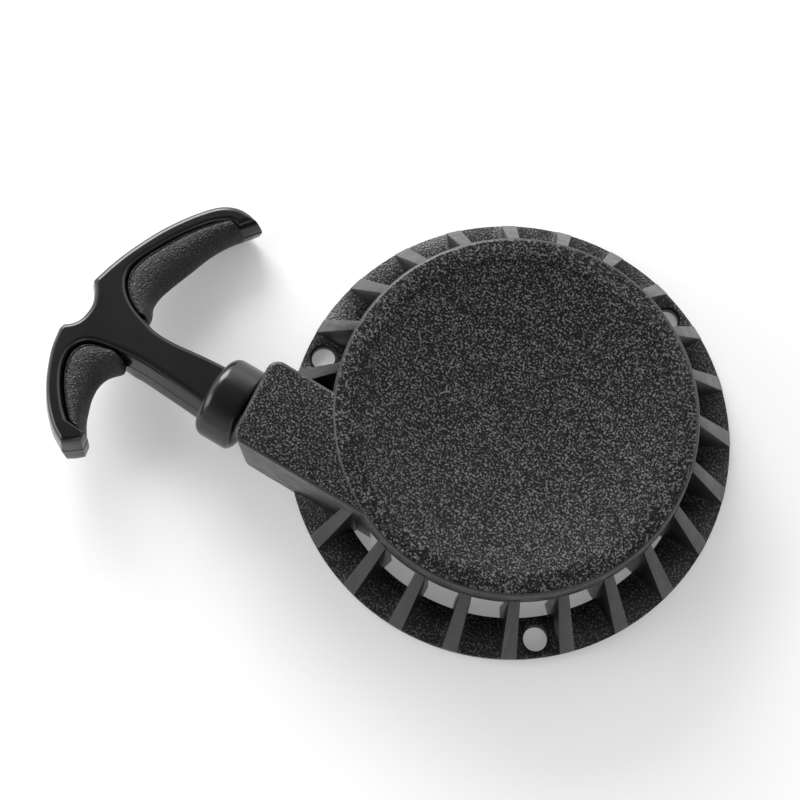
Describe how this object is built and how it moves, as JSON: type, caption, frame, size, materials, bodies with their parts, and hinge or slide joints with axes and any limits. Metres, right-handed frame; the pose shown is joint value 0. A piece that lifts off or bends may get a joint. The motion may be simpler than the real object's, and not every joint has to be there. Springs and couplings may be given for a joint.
{
  "type": "recoil starter",
  "caption": "Pull starter with a round ribbed fan cover, side rope neck and T-handle, holding a rope reel, recoil spring and drive pawls.",
  "frame": {"origin": "centre of the bolt circle on the mounting face, on the reel's axis", "axes": "+Z along the reel's axis from the mounting face up through the lid; the rope and handle pull out along -X, with the rope's line on the -Y side"},
  "size_m": [0.191, 0.1395, 0.0346],
  "materials": {
    "housing_plastic": "black cast plastic with a coarse grain on its flat faces",
    "handle_plastic": "glossy black with leather grain on the arms",
    "reel_nylon": "natural grey nylon",
    "steel": "zinc-plated steel",
    "spring_steel": "blued spring steel",
    "brass": "plain brass",
    "rope": "braided nylon cord"
  },
  "bodies": {
    "housing": {"starter_housing": "housing_plastic", "rope_guide_bush": "steel", "pivot_sleeve": "steel", "threaded_insert": "brass", "upper_thrust_washer": "steel", "spring_case": "steel", "spring_anchor_pin": "steel", "recoil_spring": "spring_steel", "retaining_washer": "steel", "spacer_sleeve": "steel", "lower_washer": "steel", "center_screw": "steel", "brake_spring": "spring_steel"},
    "reel": {"rope_reel": "reel_nylon", "rope_coil": "rope", "rope_reel_knot": "rope", "pawl_pin_a": "steel", "pawl_pin_b": "steel", "pawl_spring_a": "spring_steel", "pawl_spring_b": "spring_steel"},
    "rope": {"rope_lead": "rope", "rope_handle_knot": "rope", "knot_washer": "steel"},
    "handle": {"handle_grip": "handle_plastic", "handle_collar": "handle_plastic"},
    "guide": {"pawl_guide": "steel"},
    "pawl_one": {"pawl_a": "steel"},
    "pawl_two": {"pawl_b": "steel"}
  },
  "joints": [
    {"name": "handle_pull", "type": "slide", "parent": "housing", "child": "rope", "axis": [-1, 0, 0], "range_m": [0, 0.6], "stiffness_N_per_m": 15, "springref_m": -0.1},
    {"name": "handle_swivel", "type": "hinge", "parent": "rope", "child": "handle", "pos_m": [-0.0664, -0.0352, 0.0145], "axis": [-1, 0, 0], "range_deg": [-90, 90]},
    {"name": "reel_spin", "type": "hinge", "parent": "housing", "child": "reel", "pos_m": [0, 0, 0], "axis": [0, 0, 1], "range_deg": [-1081, 0], "deforming": ["recoil_spring"]},
    {"name": "guide_turn", "type": "hinge", "parent": "reel", "child": "guide", "pos_m": [0, 0, 0], "axis": [0, 0, 1], "range_deg": [0, 30], "stiffness_Nm_per_rad": 0.002, "springref_deg": -17.19},
    {"name": "pawl_a_swing", "type": "hinge", "parent": "reel", "child": "pawl_one", "pos_m": [0.0075, 0.01299, 0.0082], "axis": [0, 0, 1], "range_deg": [0, 25.1]},
    {"name": "pawl_b_swing", "type": "hinge", "parent": "reel", "child": "pawl_two", "pos_m": [-0.0075, -0.01299, 0.0082], "axis": [0, 0, 1], "range_deg": [0, 25.1]}
  ],
  "couplings": [
    {"joint": "reel_spin", "follows": "handle_pull", "rad_per_m": -31.416},
    {"joint": "pawl_a_swing", "follows": "guide_turn", "ratio": 0.83333},
    {"joint": "pawl_b_swing", "follows": "guide_turn", "ratio": 0.83333}
  ]
}
